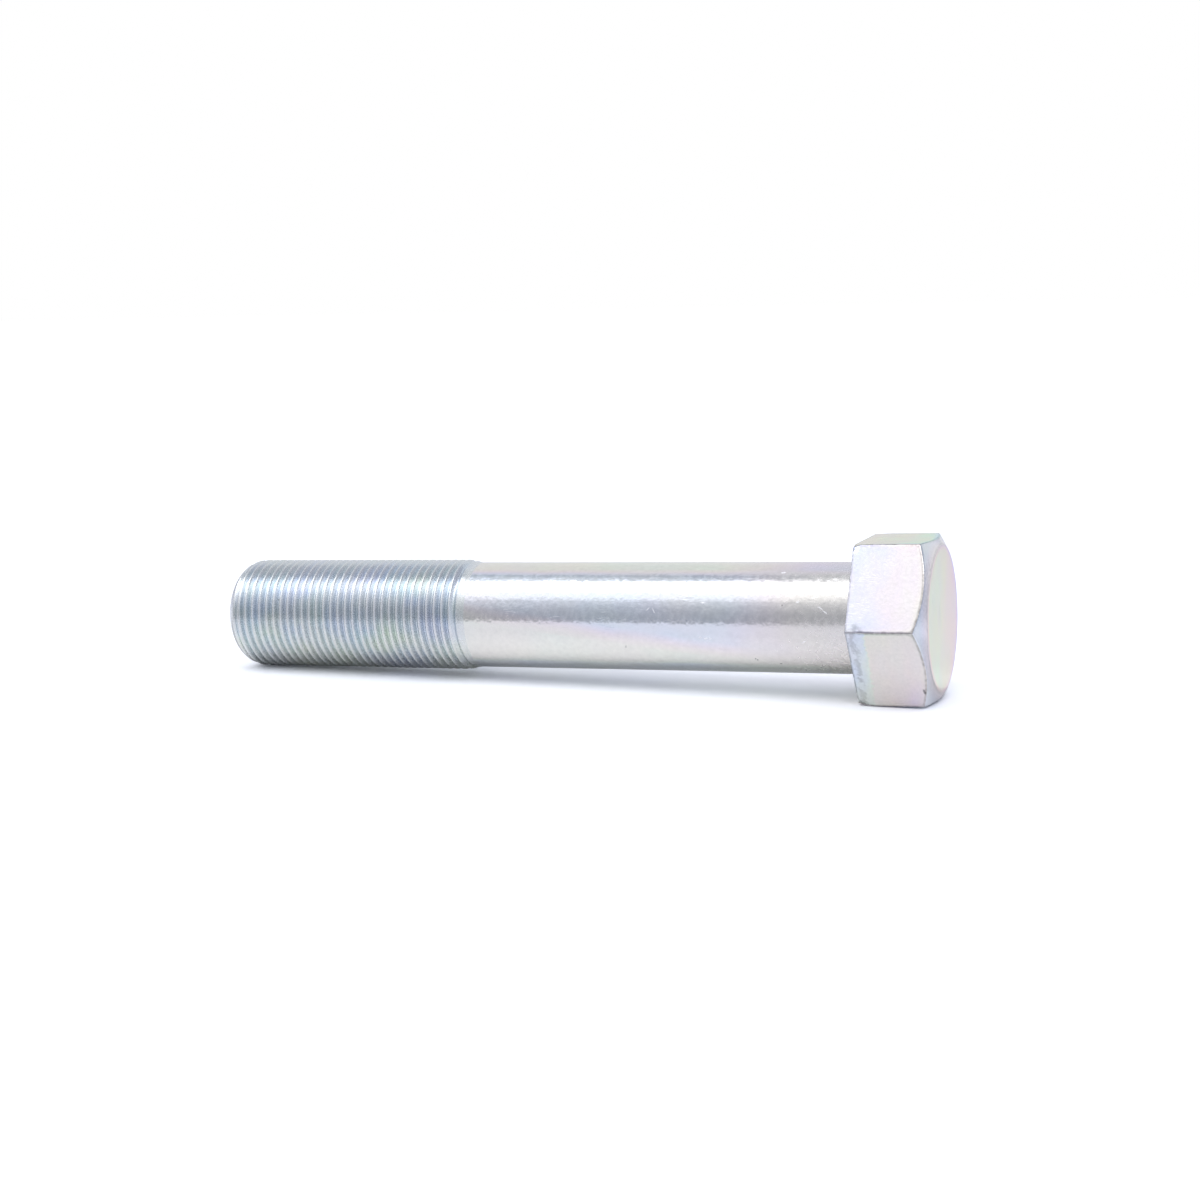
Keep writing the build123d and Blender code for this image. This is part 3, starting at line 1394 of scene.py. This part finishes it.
def around(middle, elevation, distance):
    """A point over the near side of the bolt, at an angle up from level in the plane across it."""
    turn = math.radians(elevation)
    return middle + Vector((0, -math.cos(turn), math.sin(turn))) * distance


# Painted reflections: the cards glow, though they are no lamps.
def painted_reflection_card(context, middle, material, angles, distance, reach):
    """A card that only the plating's reflections show, between two angles up from the near side
    and two places along the bolt."""
    low, high = angles
    left, right = reach
    half = math.radians(high - low) / 2
    middle = middle + Vector(((left + right) / 2, 0, 0))
    place = around(middle, (low + high) / 2, distance)
    depth = 2 * distance * math.tan(half)
    card = stage_sheet(context, material.name, right - left, depth, facing(place, middle), material)
    show_only_in_reflections(card)


def show_only_in_reflections(card):
    """Hides a card from all but the plating."""
    card.visible_camera = False
    card.visible_diffuse = False
    card.visible_transmission = False
    card.visible_shadow = False


# The softbox: its angle up from level on the near side and half of what it spans, in degrees, its
# distance and its length in metres, and how far it is set towards the tip.
SOFTBOX_UP = 67
SOFTBOX_HALF = 20
SOFTBOX_DISTANCE = 0.6
SOFTBOX_LENGTH = 1.7
SOFTBOX_SHIFT = 0.15

# The cards in the plating, glowing sheets that are no lamps and paint its reflections: between which
# two angles up from level on the near side, how far off, and between which two places along the bolt,
# in metres. The softbox card is a painted highlight, since the lamp itself is not mirrored.
ALL_ALONG = (-1.5, 1.5)
FRONT_CARD = ((-1.2, 45.5), 0.5, ALL_ALONG)
SOFTBOX_PAINTED_HIGHLIGHT = ((45.0, 86.4), 0.6, ALL_ALONG)
GAP_CARD = ((87.0, 107.0), 0.65, ALL_ALONG)
CEILING_CARD = ((107.0, 176.0), 0.7, (-0.6, 0.3))
LEFT_WING_CARD = ((107.0, 176.0), 0.7, (-2.2, -0.6))
RIGHT_WING_CARD = ((107.0, 150.0), 0.7, (0.3, 1.8))
# The cards beyond the two ends: how far along they are, how far across and up, and their size.
END_CARDS = (("head_card", 0.7), ("tip_card", -0.9))
END_CARD_PLACE = (-0.1, 0.2)
END_CARD_SIZE = (0.9, 0.6)
# Where a card's grey turns into the other one, in metres up from the floor. The gap card turns along
# a way of its own, aslant to the bolt.
FRONT_EDGE = (0.0, 0.56)
FRONT_BEND = 1.7
SOFTBOX_EDGE = (0.52, 0.575)
CEILING_EDGE = (0.12, 0.27)
GAP_EDGE = (-0.126, 0.024)
GAP_WAY = (0.4, 1.0, 0.0)


class BOLT_OT_make_stage(bpy.types.Operator):
    """Lay a plain pale floor and set up soft light and the camera"""

    bl_idname = "bolt.make_stage"
    bl_label = "Make the stage"
    bl_options = {"REGISTER", "UNDO"}

    def execute(self, context):
        studio = context.scene.bolt_studio
        middle = (LOW + HIGH) / 2
        self.floor(context, studio)
        self.room(context, studio)
        self.softbox(context, studio, middle)
        self.cards(context, studio, middle)
        self.camera(context, studio, middle)
        context.scene.view_settings.view_transform = "Standard"
        return {"FINISHED"}

    def floor(self, context, studio):
        """A floor that reaches beyond what the camera sees."""
        size = 30.0
        place = Matrix.Translation((0, 0, LOW.z))
        stage_sheet(context, "floor", size, size, place, floor_material(studio))

    def room(self, context, studio):
        """A plain room, white to the eye, whose own light fills the shadows."""
        world = bpy.data.worlds.new("Plain room")
        context.scene.world = world
        world.use_nodes = True
        tree = world.node_tree
        tree.nodes.clear()
        glow = {"Color": (*studio.fill_colour, 1.0), "Strength": studio.fill}
        fill = output(tree, "ShaderNodeBackground", glow)
        white = output(tree, "ShaderNodeBackground", {"Color": (*WHITE, 1.0), "Strength": 1.0})
        mixed = output(tree, "ShaderNodeMixShader", {"Fac": white_to_the_eye(tree), 1: fill, 2: white})
        node(tree, "ShaderNodeOutputWorld", {"Surface": mixed})

    def softbox(self, context, studio, middle):
        """A long soft lamp over the near side."""
        lamp = bpy.data.lights.new("Softbox", "AREA")
        lamp.shape = "RECTANGLE"
        lamp.size = SOFTBOX_LENGTH
        lamp.size_y = 2 * SOFTBOX_DISTANCE * math.tan(math.radians(SOFTBOX_HALF))
        lamp.energy = studio.lamp * math.pi * lamp.size * lamp.size_y
        light = new_object(context, "Softbox", lamp)
        place = around(middle, SOFTBOX_UP, SOFTBOX_DISTANCE)
        place.x -= SOFTBOX_SHIFT
        aim = Vector((place.x, middle.y, middle.z))
        light.matrix_world = facing(place, aim) @ Matrix.Rotation(math.pi, 4, "X")
        light.visible_camera = False
        light.visible_glossy = False

    def cards(self, context, studio, middle):
        """Glowing cards, no lamps, that the plating mirrors besides the floor: painted reflections."""
        bright = (studio.softbox,) * 3
        glare = (studio.softbox_top,) * 3
        cards = (
            ("front_card", FRONT_CARD, (studio.front_card, bright, FRONT_EDGE, UPWARDS, FRONT_BEND)),
            # A painted highlight: a glowing card in place of the softbox, which the plating does not mirror.
            ("softbox_painted_highlight", SOFTBOX_PAINTED_HIGHLIGHT, (bright, glare, SOFTBOX_EDGE)),
            ("gap_card", GAP_CARD, (studio.gap_card_near, studio.gap_card, GAP_EDGE, GAP_WAY)),
            ("ceiling_card", CEILING_CARD, (studio.horizon_card, studio.ceiling_card, CEILING_EDGE)),
            ("left_wing_card", LEFT_WING_CARD, (studio.wing_cards,)),
            ("right_wing_card", RIGHT_WING_CARD, (studio.wing_cards,)),
        )
        for name, where, glow in cards:
            painted_reflection_card(context, middle, card_material(name, *glow), *where)
        for name, along in END_CARDS:
            place = middle + Vector((along, *END_CARD_PLACE))
            turn = facing(place, Vector((middle.x, place.y, place.z)))
            material = card_material(name, studio.side_card)
            show_only_in_reflections(stage_sheet(context, name, *END_CARD_SIZE, turn, material))

    def camera(self, context, studio, middle):
        """The camera, at the settings' angles round the middle of the bolt."""
        azimuth = studio.camera_azimuth
        elevation = studio.camera_elevation
        back = Vector(
            (
                math.sin(azimuth) * math.cos(elevation),
                -math.cos(azimuth) * math.cos(elevation),
                math.sin(elevation),
            )
        )
        aim = Vector((middle.x + studio.aim_along, middle.y, LOW.z + studio.aim_height))
        data = bpy.data.cameras.new("Camera")
        data.lens = studio.lens
        data.sensor_width = 36
        data.clip_start = 0.01
        data.clip_end = 100
        camera = new_object(context, "Camera", data)
        turn = back.to_track_quat("Z", "Y").to_matrix().to_4x4()
        turn = turn @ Matrix.Rotation(studio.camera_roll, 4, "Z")
        camera.matrix_world = Matrix.Translation(aim + back * studio.camera_distance) @ turn
        context.scene.camera = camera


class BOLT_PT_panel(bpy.types.Panel):
    """The bolt's sizes, finish and stage"""

    bl_idname = "BOLT_PT_panel"
    bl_label = "Hexagon bolt"
    bl_space_type = "VIEW_3D"
    bl_region_type = "UI"
    bl_category = "Bolt"

    def draw(self, context):
        scene = context.scene
        sections = (
            (scene.bolt_shape, BOLT_OT_make_bolt),
            (scene.bolt_finish, None),
            (scene.bolt_studio, BOLT_OT_make_stage),
        )
        for settings, operator in sections:
            column = self.layout.column()
            for name in settings.__annotations__:
                column.prop(settings, name)
            if operator:
                column.operator(operator.bl_idname)


CLASSES = (
    BoltShape,
    BoltFinish,
    BoltStudio,
    BOLT_OT_make_bolt,
    BOLT_OT_make_stage,
    BOLT_PT_panel,
)


def register():
    """Adds the settings, the operators and the panel."""
    for cls in CLASSES:
        bpy.utils.register_class(cls)
    bpy.types.Scene.bolt_shape = PointerProperty(type=BoltShape)
    bpy.types.Scene.bolt_finish = PointerProperty(type=BoltFinish)
    bpy.types.Scene.bolt_studio = PointerProperty(type=BoltStudio)


def unregister():
    """Takes them away again."""
    del bpy.types.Scene.bolt_studio
    del bpy.types.Scene.bolt_finish
    del bpy.types.Scene.bolt_shape
    for cls in reversed(CLASSES):
        bpy.utils.unregister_class(cls)


def main():
    """Makes the bolt and the stage."""
    register()
    bpy.ops.bolt.make_bolt()
    bpy.ops.bolt.make_stage()


if __name__ == "__main__":
    main()
